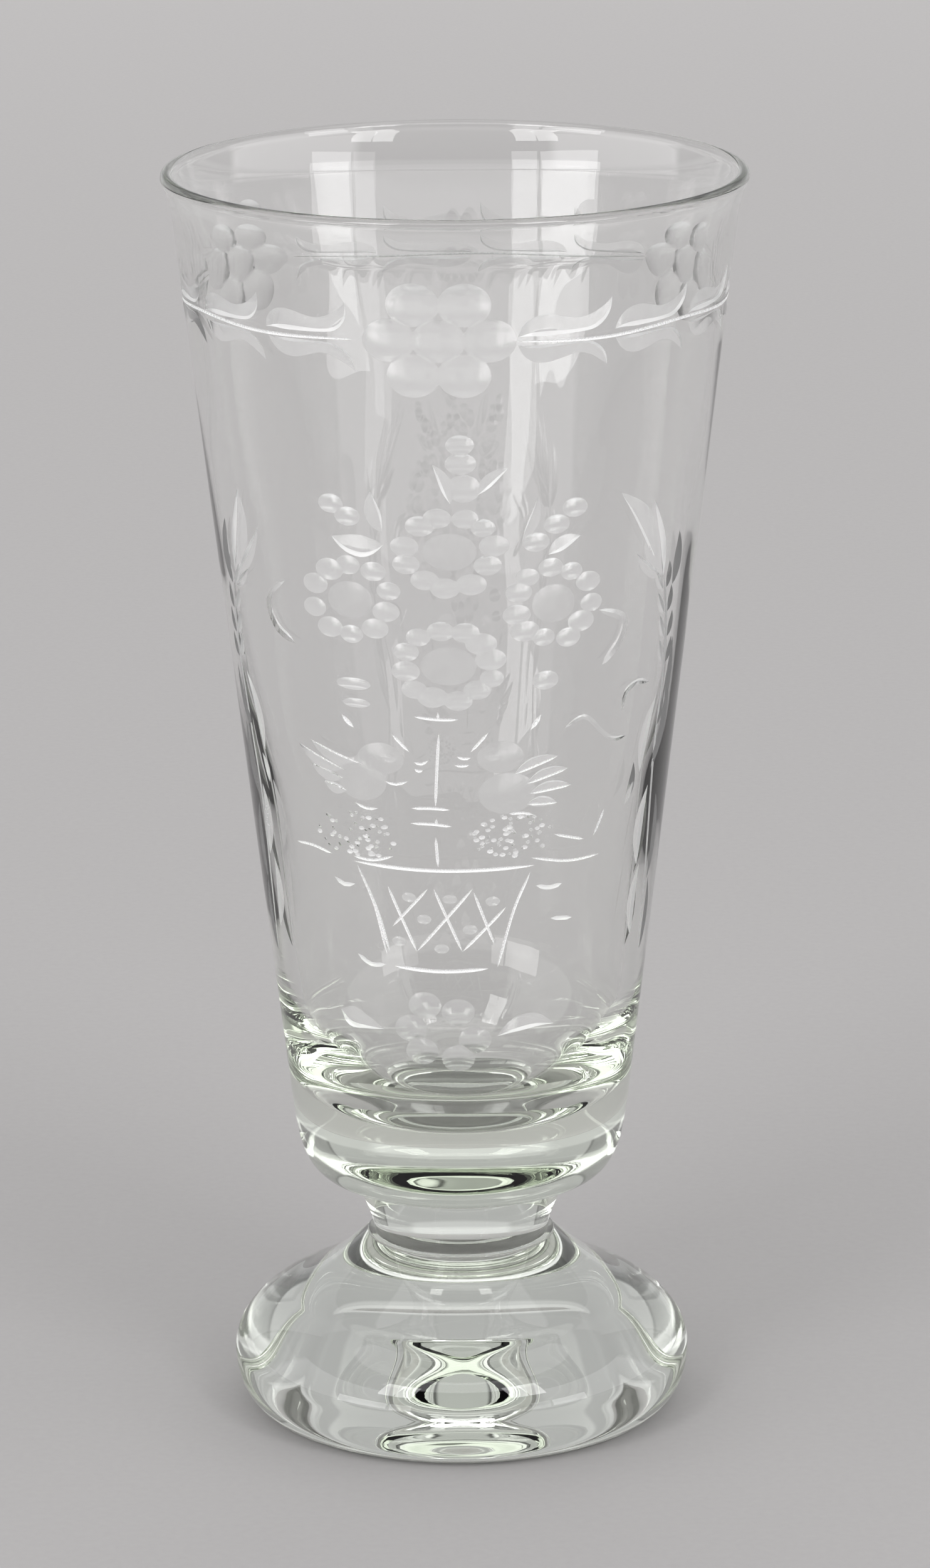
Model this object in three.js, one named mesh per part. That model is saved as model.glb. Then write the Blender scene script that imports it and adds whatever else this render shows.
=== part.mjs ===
// A footed drinking glass: a conical beaker with a thick base, on a short flared stem and a bell-shaped foot.
// The three gathers of glass are welded face to face. Millimetres, +Z up, origin on the table under the axis.
import * as THREE from "three";

// Foot: a thick bell that stands on a flat ground ring, with a level hollow inside it
const FOOT_RADIUS = 31; // widest
const FOOT_EDGE_WIDTH = 4.4; // how far the rounded lower edge draws in
const FOOT_SIDE_HEIGHT = 7.2; // height of the widest place, where that edge ends
const FOOT_SHOULDER_RADIUS = 23.7; // where the rounded shoulder turns into the trumpet
const FOOT_SHOULDER_HEIGHT = 15.55;
const FOOT_HEIGHT = 24; // table to weld
const FOOT_WELD_LIP = 0.85; // how far the foot's top stands out past the stem
const FOOT_RING_WIDTH = 7; // flat ground ring that touches the table, out to in
const FOOT_HOLLOW = 4.2; // rise of the hollow inside the ring

// Stem: a button of glass that flares into the underside of the bowl
const STEM_WAIST_RADIUS = 11.85; // at the weld with the foot
const STEM_TOP_RADIUS = 14.95; // at the bowl
const STEM_HEIGHT = 8.15;
const STEM_FLARE_LEAN = 0.2; // the flare leaves the waist at this lean
const STEM_FLARE_RISE = 2.7; // over this height

// Bowl: a cone that widens upwards, with a heavy base
const BOWL_HEIGHT = 137.85; // underside to rim
const BASE_RADIUS = 23; // outside, where the rounded heel meets the cone
const HEEL_HEIGHT = 12.85; // rounded heel
const RIM_RADIUS = 37.7; // outside of the cone at the rim
const RIM_BEAD = 1.8; // thickness of the fire-polished rim
const RIM_CURL = 7; // height over which the wall curls out to the rim
const RIM_FLARE = 0.73; // how far the rim stands out from the middle of the wall
const WALL = 1.45; // upper wall
const LOWER_WALL = 3.4; // wall just above the rounded floor
const LOWER_WALL_RISE = 18; // height of that place above the floor
const THIN_WALL_RISE = 73; // height above the floor from which the wall is thin
const FLOOR_THICKNESS = 10.05; // glass under the middle of the floor
const FLOOR_RADIUS = 8; // nearly flat middle of the floor
const FLOOR_DISH = 0.2; // how much higher the edge of that middle lies

// Handles of the profile curves, each a share of its own curve's rise or run
const HOLLOW_FLAT = 0.95; // how long the top of the foot's hollow stays level
const SIDE_HANDLE = 0.46; // how long the foot's side stays upright before the shoulder turns
const SHOULDER_HANDLE = 0.47; // how long the shoulder keeps its slope
const SHOULDER_SLOPE = 0.14; // its fall over that length
const TRUMPET_HANDLE = 0.31; // how far the trumpet runs on at a low slope
const TRUMPET_SLOPE = 0.13; // its rise over that length
const HEEL_FLAT = 0.78; // how long the underside of the bowl stays level
const HEEL_STEEP = 0.7; // how long the heel keeps the slope of the cone
const CURL_HANDLE = 0.46; // how long the wall keeps its slope before it curls out

const ROUND_STEPS = 64; // facets round the axis
const CURVE_STEPS = 6; // facets along each curve of a profile

const clearGlass = { color: 0xdfe8e2, roughness: 0.05, metalness: 0, transparent: true, opacity: 0.35 };

// Heights of the two welds and of the rim above the table
const footTop = FOOT_HEIGHT;
const stemTop = footTop + STEM_HEIGHT;
const rimTop = stemTop + BOWL_HEIGHT;

// A solid of revolution about Z. The profile (radius, height) runs anticlockwise, from the axis at the bottom
// to the axis at the top, so that its faces point out.
function turned(name, profile) {
  const geometry = new THREE.LatheGeometry(profile.getPoints(CURVE_STEPS), ROUND_STEPS);
  geometry.rotateX(Math.PI / 2);
  const mesh = new THREE.Mesh(geometry, new THREE.MeshStandardMaterial(clearGlass));
  mesh.name = name;
  return mesh;
}

function foot() {
  const ringOuter = FOOT_RADIUS - FOOT_EDGE_WIDTH;
  const ringInner = ringOuter - FOOT_RING_WIDTH;
  const topRadius = STEM_WAIST_RADIUS + FOOT_WELD_LIP;
  const shoulderRise = FOOT_SHOULDER_HEIGHT - FOOT_SIDE_HEIGHT;
  const shoulderRun = FOOT_RADIUS - FOOT_SHOULDER_RADIUS;
  const trumpetRise = footTop - FOOT_SHOULDER_HEIGHT;
  const trumpetRun = FOOT_SHOULDER_RADIUS - topRadius;
  const p = new THREE.Path();
  p.moveTo(0, FOOT_HOLLOW);
  p.quadraticCurveTo(HOLLOW_FLAT * ringInner, FOOT_HOLLOW, ringInner, 0);
  p.lineTo(ringOuter, 0);
  p.absellipse(ringOuter, FOOT_SIDE_HEIGHT, FOOT_EDGE_WIDTH, FOOT_SIDE_HEIGHT, -Math.PI / 2, 0, false, 0);
  p.bezierCurveTo(
    FOOT_RADIUS, FOOT_SIDE_HEIGHT + SIDE_HANDLE * shoulderRise,
    FOOT_SHOULDER_RADIUS + SHOULDER_HANDLE * shoulderRun, FOOT_SHOULDER_HEIGHT - SHOULDER_SLOPE * shoulderRise,
    FOOT_SHOULDER_RADIUS, FOOT_SHOULDER_HEIGHT,
  );
  p.quadraticCurveTo(
    FOOT_SHOULDER_RADIUS - TRUMPET_HANDLE * trumpetRun, FOOT_SHOULDER_HEIGHT + TRUMPET_SLOPE * trumpetRise,
    topRadius, footTop,
  );
  p.lineTo(0, footTop);
  return turned("foot", p);
}

function stem() {
  const p = new THREE.Path();
  p.moveTo(0, footTop);
  p.lineTo(STEM_WAIST_RADIUS, footTop);
  p.quadraticCurveTo(
    STEM_WAIST_RADIUS + STEM_FLARE_LEAN, footTop + STEM_FLARE_RISE,
    STEM_TOP_RADIUS, stemTop,
  );
  p.lineTo(0, stemTop);
  return turned("stem", p);
}

function bowl() {
  const heelTop = stemTop + HEEL_HEIGHT;
  const taper = (RIM_RADIUS - BASE_RADIUS) / (rimTop - heelTop);
  const outside = (z) => BASE_RADIUS + taper * (z - heelTop);
  const bead = RIM_BEAD / 2;
  const beadHeight = rimTop - bead;
  const curlFoot = rimTop - RIM_CURL;
  const curlBend = curlFoot + CURL_HANDLE * RIM_CURL;
  const beadRadius = outside(beadHeight) - WALL / 2 + RIM_FLARE;
  const floor = stemTop + FLOOR_THICKNESS;
  const thinZ = floor + THIN_WALL_RISE;
  const lowerZ = floor + LOWER_WALL_RISE;
  const thickening = (thinZ - lowerZ) / 2;
  const lowerRadius = outside(lowerZ) - LOWER_WALL;
  const p = new THREE.Path();
  p.moveTo(0, stemTop);
  p.lineTo(STEM_TOP_RADIUS, stemTop);
  p.bezierCurveTo(
    STEM_TOP_RADIUS + HEEL_FLAT * (BASE_RADIUS - STEM_TOP_RADIUS), stemTop,
    outside(heelTop - HEEL_STEEP * HEEL_HEIGHT), heelTop - HEEL_STEEP * HEEL_HEIGHT,
    BASE_RADIUS, heelTop,
  );
  p.lineTo(outside(curlFoot), curlFoot);
  p.quadraticCurveTo(outside(curlBend), curlBend, beadRadius + bead, beadHeight);
  p.absarc(beadRadius, beadHeight, bead, 0, Math.PI, false);
  p.quadraticCurveTo(outside(curlBend) - WALL, curlBend, outside(curlFoot) - WALL, curlFoot);
  p.lineTo(outside(thinZ) - WALL, thinZ);
  p.bezierCurveTo(
    outside(thinZ - thickening) - WALL, thinZ - thickening,
    outside(lowerZ + thickening) - LOWER_WALL, lowerZ + thickening,
    lowerRadius, lowerZ,
  );
  p.bezierCurveTo(
    outside(lowerZ - LOWER_WALL_RISE / 2) - LOWER_WALL, lowerZ - LOWER_WALL_RISE / 2,
    (lowerRadius + FLOOR_RADIUS) / 2, floor + 2 * FLOOR_DISH,
    FLOOR_RADIUS, floor + FLOOR_DISH,
  );
  p.quadraticCurveTo(FLOOR_RADIUS / 2, floor, 0, floor);
  return turned("bowl", p);
}

const glass = new THREE.Group();
glass.add(foot(), stem(), bowl());

export default glass;
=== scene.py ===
"""A footed drinking glass of clear soda-lime glass: blown, welded to a bell foot, engraved on the wheel."""
import math

import bpy
import numpy as np
from mathutils import Matrix, Vector
from mathutils.geometry import delaunay_2d_cdt


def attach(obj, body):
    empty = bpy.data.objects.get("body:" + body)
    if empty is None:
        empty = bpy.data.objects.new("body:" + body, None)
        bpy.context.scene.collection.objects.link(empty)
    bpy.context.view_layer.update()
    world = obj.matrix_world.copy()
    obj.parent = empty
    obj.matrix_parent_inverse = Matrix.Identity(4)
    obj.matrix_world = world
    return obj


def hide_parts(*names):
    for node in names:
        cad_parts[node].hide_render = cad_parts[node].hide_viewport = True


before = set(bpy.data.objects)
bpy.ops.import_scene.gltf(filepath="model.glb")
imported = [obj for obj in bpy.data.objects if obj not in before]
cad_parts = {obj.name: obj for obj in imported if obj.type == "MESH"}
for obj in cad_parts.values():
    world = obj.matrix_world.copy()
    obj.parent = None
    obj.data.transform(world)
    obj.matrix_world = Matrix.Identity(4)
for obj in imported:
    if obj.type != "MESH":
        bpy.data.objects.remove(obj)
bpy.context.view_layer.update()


# Foot: a heavy bell of clear soda-lime glass, gathered and shaped hot on its own, then welded to the stem.
# It stands on a flat ground ring; the level hollow inside the ring shows through the bell as crossed
# bright lines.
MM = 0.001
COLUMNS = 192  # facets round the axis, the same on all three pieces so that the welds meet
WELD_SLIT = 0.02  # each welded face stands back by this much, so that a ray meets the two in order
FOOT_RADIUS = 31.0
FOOT_EDGE_WIDTH = 4.4  # how far the rounded lower edge draws in
FOOT_SIDE_HEIGHT = 7.2  # height of the widest place
FOOT_SHOULDER = (23.7, 15.55)  # radius and height where the shoulder turns into the trumpet
FOOT_TOP = 24.0  # height of the weld with the stem
FOOT_LIP_RADIUS = 12.7  # top of the trumpet, a small step outside the stem
FOOT_LIP_ROUND = 0.3
RING_WIDTH = 7.0  # flat ground ring, out to in
RING_EDGE = 0.2  # narrow outer strip of the ring, which keeps its shading flat
HOLLOW_RISE = 4.2
HOLLOW_FLAT = 0.95  # share of the hollow's radius over which its top stays level
SIDE_HANDLE = 0.46  # how long the side stays upright, as a share of the shoulder's rise
SHOULDER_HANDLE, SHOULDER_SLOPE = 0.47, 0.14  # how long the shoulder keeps its slope, and its fall over that
TRUMPET_HANDLE, TRUMPET_SLOPE = 0.31, 0.13  # how far the trumpet runs on low, and its rise over that
STEM_WAIST = 11.85


def bezier(points, steps):
    """Bezier curve: the control points (radius, height), each times its Bernstein weight, summed."""
    t = np.linspace(0.0, 1.0, steps)[:, None]
    p = np.asarray(points, float)
    n = len(p) - 1
    return sum(math.comb(n, i) * t**i * (1.0 - t) ** (n - i) * p[i] for i in range(n + 1))


def arc(centre, axes, start, end, steps):
    """Part of an upright ellipse: the centre plus its axes times cosine and sine of an angle in degrees."""
    a = np.radians(np.linspace(start, end, steps))
    return np.stack([centre[0] + axes[0] * np.cos(a), centre[1] + axes[1] * np.sin(a)], 1)


def path(*pieces):
    """One profile from several runs of points (radius, height), without repeated points."""
    p = np.concatenate([np.atleast_2d(np.asarray(piece, float)) for piece in pieces])
    return p[np.r_[True, np.abs(np.diff(p, axis=0)).sum(1) > 1e-9]]


def turned(profile, span, weld=0.0, cut=0.0, seam=0.0):
    """A profile carried round Z: x is radius times sine, y is minus radius times cosine of the turn, which
    starts at the seam. An end on the axis closes in one pole. Faces look to the right of the profile's way.
    span is the strip of the unrolled map, from bottom to top, that the surface takes. weld and cut mark its
    faces for the material."""
    turn = seam + 2.0 * np.pi * np.arange(COLUMNS) / COLUMNS
    r, z = profile[:, 0, None], profile[:, 1, None]
    points = np.stack([r * np.sin(turn), -r * np.cos(turn), np.repeat(z, COLUMNS, 1)], -1).reshape(-1, 3)
    ring = np.arange(len(points)).reshape(len(profile), COLUMNS)
    after = np.roll(ring, -1, 1)
    quads = np.stack([ring[:-1], after[:-1], after[1:], ring[1:]], -1)
    run = np.r_[0.0, np.cumsum(np.hypot(*np.diff(profile, axis=0).T))]
    v = span[0] + (span[1] - span[0]) * run / run[-1]
    u = np.arange(COLUMNS + 1) / COLUMNS
    shape = quads.shape[:2]
    left, right = np.broadcast_to(u[:-1], shape), np.broadcast_to(u[1:], shape)
    low, high = np.broadcast_to(v[:-1, None], shape), np.broadcast_to(v[1:, None], shape)
    uv = np.stack([np.stack([left, low], -1), np.stack([right, low], -1),
                   np.stack([right, high], -1), np.stack([left, high], -1)], 2)
    first, last = int(profile[0, 0] == 0.0), len(quads) - int(profile[-1, 0] == 0.0)
    patches = [(quads[first:last].reshape(-1, 4), uv[first:last].reshape(-1, 4, 2))]
    if first:
        patches.append((quads[0][:, [0, 2, 3]], uv[0][:, [0, 2, 3]]))
    if last < len(quads):
        patches.append((quads[-1][:, :3], uv[-1][:, :3]))
    return [dict(points=points, faces=f, uv=t, weld=weld, cut=cut) for f, t in patches if len(f)]


def closed_piece(name, patches, crease):
    """One closed mesh from patches in millimetres: points that lie on one another become one, every point
    moves out or in by a few hundredths as hand work leaves it, in two, three and five waves round the axis,
    and edges sharper than crease degrees stay sharp."""
    start = np.cumsum([0] + [len(p["points"]) for p in patches])
    points = np.round(np.concatenate([p["points"] for p in patches]), 6) + 0.0
    points, joined = np.unique(points, axis=0, return_inverse=True)
    joined = joined.reshape(-1)
    turn = np.arctan2(points[:, 0], -points[:, 1])
    height = points[:, 2]
    sway = 0.0006 * np.cos(2 * turn + 0.7 + height / 60) + 0.0005 * np.cos(3 * turn + 2.1 - height / 31)
    points[:, :2] *= 1.0 + (sway + 0.0003 * np.cos(5 * turn + height / 11))[:, None]
    faces = [joined[p["faces"] + s] for p, s in zip(patches, start)]
    mesh = bpy.data.meshes.new(name)
    mesh.from_pydata((points * MM).tolist(), [], [f for block in faces for f in block.tolist()])
    for key in ("weld", "cut"):
        values = [np.broadcast_to(np.asarray(p[key], np.float32), len(f)) for p, f in zip(patches, faces)]
        mesh.attributes.new(key, "FLOAT", "FACE").data.foreach_set("value", np.concatenate(values))
    unrolled = mesh.uv_layers.new(name="OFBake")
    unrolled.data.foreach_set("uv", np.concatenate([p["uv"].reshape(-1) for p in patches]).astype(np.float32))
    mesh.polygons.foreach_set("use_smooth", np.ones(len(mesh.polygons), bool))
    mesh.set_sharp_from_angle(angle=math.radians(crease))
    piece = bpy.data.objects.new(name, mesh)
    bpy.context.scene.collection.objects.link(piece)
    return piece


def linear(hexa):
    """sRGB hex colour as linear RGBA."""
    c = np.array([int(hexa[i:i + 2], 16) for i in (0, 2, 4)]) / 255.0
    return (*np.where(c <= 0.04045, c / 12.92, ((c + 0.055) / 1.055) ** 2.4), 1.0)


def add_node(tree, kind, settings=None, **sockets):
    """Adds a node, sets its properties, and gives each named or numbered (_0, _1) input a value or a link."""
    node = tree.nodes.new("ShaderNode" + kind)
    for key, value in (settings or {}).items():
        setattr(node, key, value)
    for key, value in sockets.items():
        socket = node.inputs[int(key[1:])] if key[0] == "_" else node.inputs[key.replace("_", " ")]
        if isinstance(value, bpy.types.NodeSocket):
            tree.links.new(value, socket)
        else:
            socket.default_value = value
    return node


GLASS_INDEX = 1.52
GRIT = 0.25  # mm, the wheel's grit, coarser than the real 0.1 mm so that it shows
RUBBED_PLACES = 7.0  # mm


def soda_lime(name, striae_mm, striae_depth_mm, tint):
    """Clear soda-lime glass, blown and fire-polished. To the eye: no colour where it is thin, a pale
    yellow-green where light crosses a lot of it, faint streaks from the gather, and a silky matt wherever a
    wheel ground it. The streaks are as wide and as deep as given, and tint is the strength of the colour per
    metre of glass."""
    material = bpy.data.materials.new(name)
    material.use_nodes = True
    tree = material.node_tree
    glass = tree.nodes["Principled BSDF"]
    glass.inputs["Base Color"].default_value = linear("FFFFFF")
    glass.inputs["IOR"].default_value = GLASS_INDEX
    where = add_node(tree, "TexCoord").outputs["Object"]
    cut = add_node(tree, "Attribute", dict(attribute_name="cut")).outputs["Fac"]
    weld = add_node(tree, "Attribute", dict(attribute_name="weld")).outputs["Fac"]
    # In a weld there is no surface: the index falls to that of nothing, and rays go straight on.
    index = add_node(tree, "Math", dict(operation="MULTIPLY_ADD"),
                     _0=weld, _1=1.0 - GLASS_INDEX, _2=GLASS_INDEX)
    tree.links.new(index.outputs[0], glass.inputs["IOR"])
    # Streaks of the gather, drawn out along the axis.
    drawn = add_node(tree, "Mapping", Vector=where, Scale=(1.0, 1.0, 0.3))
    streaks = add_node(tree, "TexNoise", Vector=drawn.outputs[0], Scale=1.0 / (striae_mm * MM), Detail=1.0)
    swell = add_node(tree, "Bump", Height=streaks.outputs["Fac"], Strength=1.0, Distance=striae_depth_mm * MM)
    # The wheel's grit roughens what it cut.
    grit = add_node(tree, "TexNoise", Vector=where, Scale=1.0 / (GRIT * MM), Detail=2.0)
    bite = add_node(tree, "Math", dict(operation="MULTIPLY"), _0=cut, _1=0.5)
    ground = add_node(tree, "Bump", Height=grit.outputs["Fac"], Strength=bite.outputs[0], Distance=0.02 * MM,
                      Normal=swell.outputs[0])
    tree.links.new(ground.outputs[0], glass.inputs["Normal"])
    # Polished glass is clear apart from small rubbed places; a broad cut is silky, a fine line ground white.
    rubbed = add_node(tree, "TexNoise", Vector=where, Scale=1.0 / (RUBBED_PLACES * MM), Detail=4.0)
    rub = add_node(tree, "MapRange", Value=rubbed.outputs["Fac"], _1=0.66, _2=0.8, _3=0.0, _4=0.05)
    silk = add_node(tree, "MapRange", Value=grit.outputs["Fac"], _1=0.3, _2=0.7, _3=0.25, _4=0.36)
    rough = add_node(tree, "Math", dict(operation="MULTIPLY_ADD"),
                     _0=cut, _1=silk.outputs[0], _2=rub.outputs[0])
    tree.links.new(rough.outputs[0], glass.inputs["Roughness"])
    clear = add_node(tree, "MapRange", Value=cut, _1=0.4, _2=1.0, _3=1.0, _4=0.15)
    tree.links.new(clear.outputs[0], glass.inputs["Transmission Weight"])
    depth_tint = add_node(tree, "VolumeAbsorption", Color=linear("E9F9D7"), Density=tint)
    tree.links.new(depth_tint.outputs[0], tree.nodes["Material Output"].inputs["Volume"])
    return material


ring_outer = FOOT_RADIUS - FOOT_EDGE_WIDTH
ring_inner = ring_outer - RING_WIDTH
shoulder_r, shoulder_z = FOOT_SHOULDER
shoulder_rise = shoulder_z - FOOT_SIDE_HEIGHT
shoulder_run = FOOT_RADIUS - shoulder_r
trumpet_run = shoulder_r - FOOT_LIP_RADIUS
lip = FOOT_TOP - WELD_SLIT
hollow = bezier([(0, HOLLOW_RISE), (HOLLOW_FLAT * ring_inner, HOLLOW_RISE), (ring_inner, 0)], 60)
bell = path(
    arc((ring_outer, FOOT_SIDE_HEIGHT), (FOOT_EDGE_WIDTH, FOOT_SIDE_HEIGHT), -90, 0, 20),
    bezier([(FOOT_RADIUS, FOOT_SIDE_HEIGHT), (FOOT_RADIUS, FOOT_SIDE_HEIGHT + SIDE_HANDLE * shoulder_rise),
            (shoulder_r + SHOULDER_HANDLE * shoulder_run, shoulder_z - SHOULDER_SLOPE * shoulder_rise),
            FOOT_SHOULDER], 22),
    bezier([FOOT_SHOULDER,
            (shoulder_r - TRUMPET_HANDLE * trumpet_run, shoulder_z + TRUMPET_SLOPE * (lip - shoulder_z)),
            (FOOT_LIP_RADIUS, lip - FOOT_LIP_ROUND)], 22),
    arc((FOOT_LIP_RADIUS - FOOT_LIP_ROUND, lip - FOOT_LIP_ROUND), (FOOT_LIP_ROUND, FOOT_LIP_ROUND),
        20, 90, 5),
    (STEM_WAIST, lip),
)
hollow[-1] = (ring_inner, 0.0)
bell[0] = (ring_outer, 0.0)
foot = closed_piece("foot_bell", [
    *turned(hollow, (0.0, 0.3)),
    *turned(np.array([(ring_inner, 0.0), (ring_outer - RING_EDGE, 0.0), (ring_outer, 0.0)]),
            (0.3, 0.34), cut=0.1),
    *turned(bell, (0.34, 0.85)),
    *turned(np.array([(STEM_WAIST, lip), (STEM_WAIST / 2, lip), (0.0, lip)]), (0.85, 1.0), weld=1.0),
], crease=30)
foot.data.materials.append(soda_lime("soda-lime glass, pressed foot",
                                     striae_mm=9.0, striae_depth_mm=0.02, tint=3.5))
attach(foot, "root")
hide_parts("foot")


# Stem: a short button of the same glass, drawn out while hot so that it flares into the underside of the
# bowl. Both of its ends are welds, which show only as a dark line round the waist.
STEM_TOP = 32.15  # height of the weld with the bowl
STEM_TOP_RADIUS = 14.95
STEM_FLARE = (0.2, 2.7)  # the flare leaves the waist leaning this far out over this height

stem_foot, stem_head = FOOT_TOP + WELD_SLIT, STEM_TOP - WELD_SLIT
flare = bezier([(STEM_WAIST, stem_foot), (STEM_WAIST + STEM_FLARE[0], FOOT_TOP + STEM_FLARE[1]),
                (STEM_TOP_RADIUS, stem_head)], 26)
stem = closed_piece("stem_button", [
    *turned(np.array([(0.0, stem_foot), (STEM_WAIST / 2, stem_foot), (STEM_WAIST, stem_foot)]),
            (0.0, 0.2), weld=1.0),
    *turned(flare, (0.2, 0.8)),
    *turned(np.array([(STEM_TOP_RADIUS, stem_head), (STEM_TOP_RADIUS / 2, stem_head), (0.0, stem_head)]),
            (0.8, 1.0), weld=1.0),
], crease=30)
stem.data.materials.append(soda_lime("soda-lime glass, drawn stem",
                                     striae_mm=6.0, striae_depth_mm=0.015, tint=6.0))
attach(stem, "root")
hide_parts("stem")


# Engraving: the ornament that small stone and copper wheels cut into the outside of the bowl, free hand.
# Round hollows are touches of a wheel's edge, leaves are cut flat with one steep side, lines are grooves.
# Places are millimetres along the wall to the right of the front, and millimetres above the table.
BASE_RADIUS, BASE_HEIGHT = 23.0, 45.0  # outside, where the heel meets the cone
RIM_RADIUS, RIM_HEIGHT = 37.7, 170.0  # outside of the cone at the rim
TAPER = (RIM_RADIUS - BASE_RADIUS) / (RIM_HEIGHT - BASE_HEIGHT)
PETAL_WIDTH, PETAL_HEIGHT, PETAL_DEPTH = 3.7, 2.7, 0.28
cuts = []  # a pearl has a centre and half axes, a line its points and half widths; matt is for its two sides
hand = np.random.default_rng(7)  # the small unevenness of hand work


def wall_radius(z):
    """Outside of the cone at a height."""
    return BASE_RADIUS + TAPER * (z - BASE_HEIGHT)


def through(points, step):
    """Smooth line through points: a Catmull-Rom cubic between each two, sampled about every step mm."""
    p = np.asarray(points, float)
    p = np.vstack([2 * p[0] - p[1], p, 2 * p[-1] - p[-2]])
    runs = []
    for a, b, c, d in zip(p[:-3], p[1:-2], p[2:-1], p[3:]):
        t = np.linspace(0.0, 1.0, 1 + max(2, math.ceil(math.dist(b[:2], c[:2]) / step)))[:-1, None]
        bend, twist = 2 * a - 5 * b + 4 * c - d, 3 * b - a - 3 * c + d
        runs.append(0.5 * (2 * b + (c - a) * t + bend * t**2 + twist * t**3))
    return np.vstack([*runs, p[-2:-1]])


def pearl(along, z, width, height, depth=0.38, turn=0.0, matt=0.52):
    """Round touch of the wheel: an ellipse whose depth falls with the square of the way to its edge. matt is
    how far the polish is gone, from 0 for clear to 1 for white."""
    cuts.append(dict(turn=math.radians(turn), centre=np.array([along, z]), half=np.array([width, height]) / 2,
                     depth=depth, matt=(matt, matt)))


def blade(points, depth=0.26, ridge=0.6, turn=0.0):
    """Leaf along a line of (along, height, half width): its depth grows evenly from one edge to a ridge,
    which lies at that share of the half width, and falls steeply to the other edge."""
    line = through(points, 0.8)
    half = np.clip(line[:, 2], 0.02, None)
    levels = (-1.0, -0.35, 0.2, ridge, 1.0) if ridge >= 0 else (-1.0, ridge, -0.2, 0.35, 1.0)
    cuts.append(dict(turn=math.radians(turn), line=line[:, :2], half=half, depth=depth, ridge=ridge,
                     levels=levels, matt=(0.52, 0.76)))


def groove(points, half=0.19, depth=0.18, turn=0.0, matt=0.9):
    """Fine V-shaped line of even width that comes to a point at both ends."""
    line = through(points, 0.9)
    share = np.linspace(0.0, 1.0, len(line))
    taper = np.sqrt(np.clip(np.minimum(share, 1 - share) / 0.18, 0.01, 1.0))
    cuts.append(dict(turn=math.radians(turn), line=line, half=half * taper, depth=depth, ridge=0.0,
                     levels=(-1.0, 0.0, 1.0), matt=(matt, matt)))


def daisy(along, z, count, reach, disc, first=0.0):
    """Flower: a faint disc and a ring of oval petals, all lying level as the wheel does, each a little out of
    place and of its own size and depth."""
    pearl(along, z, *disc, depth=0.12, matt=0.46)
    for a in first + np.arange(count) * 2 * math.pi / count:
        dx, dz, size, bite = hand.uniform(-1.0, 1.0, 4)
        pearl(along + reach[0] * math.cos(a) + 0.35 * dx, z + reach[1] * math.sin(a) + 0.35 * dz,
              PETAL_WIDTH * (1 + 0.14 * size), PETAL_HEIGHT * (1 + 0.1 * size),
              depth=PETAL_DEPTH * (1 + 0.35 * bite))


def leaf(foot_at, tip, half, bow, steep=None, depth=0.26):
    """Leaf from foot to tip, fullest a little below its middle and bowed to the left for 1, to the right
    for -1. Its steep side lies opposite the belly unless it is given."""
    a, b = np.array(foot_at, float), np.array(tip, float)
    along = b - a
    across = np.array([-along[1], along[0]]) * 0.09 * bow
    middle = [(*(a + along * s + across * math.sin(math.pi * s)), half * w)
              for s, w in ((0.0, 0.05), (0.2, 0.7), (0.42, 1.0), (0.68, 0.8), (0.88, 0.36), (1.0, 0.02))]
    blade(middle, depth=depth, ridge=0.6 * (-bow if steep is None else steep))


# Garland under the rim: three flowers of seven pearls, joined by stems with four pairs of ragged leaves.
GARLAND_HEIGHT, LEAF_STEP = 154.0, 13.6
GARLAND_FIRST, FLOWER_TURN = -3.5, 120.0  # degrees round the bowl
for flower in range(3):
    at = GARLAND_FIRST + FLOWER_TURN * flower
    for row, places in ((4.9, (-3.3, 3.3)), (0.2, (-6.4, 0.0, 6.5)), (-4.4, (-3.25, 3.2))):
        for place in places:
            pearl(place, GARLAND_HEIGHT + row, 6.9, 5.7, depth=0.42, turn=at)
    groove([(9.6, 154.0), (22.0, 153.6), (36.0, 154.2), (50.0, 153.7), (64.2, 154.1)], half=0.22, turn=at)
    for pair in range(4):
        left = 9.9 + LEAF_STEP * pair
        upper = ((0.2, 0.5, 0.02), (1.7, 1.5, 1.0), (4.0, 1.9, 1.4), (8.0, 1.6, 0.95), (10.6, 2.0, 1.0),
                 (12.3, 3.2, 0.7), (13.3, 4.8, 0.02))
        lower = ((0.2, -0.6, 0.02), (1.7, -1.5, 0.9), (3.8, -1.8, 1.2), (8.0, -1.3, 0.75), (10.2, -1.6, 0.85),
                 (11.7, -2.7, 0.65), (12.5, -4.1, 0.02))
        blade([(left + x, GARLAND_HEIGHT + z, w) for x, z, w in upper], ridge=-0.6, turn=at)
        blade([(left + x, GARLAND_HEIGHT + z, w) for x, z, w in lower], ridge=0.6, turn=at)

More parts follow.
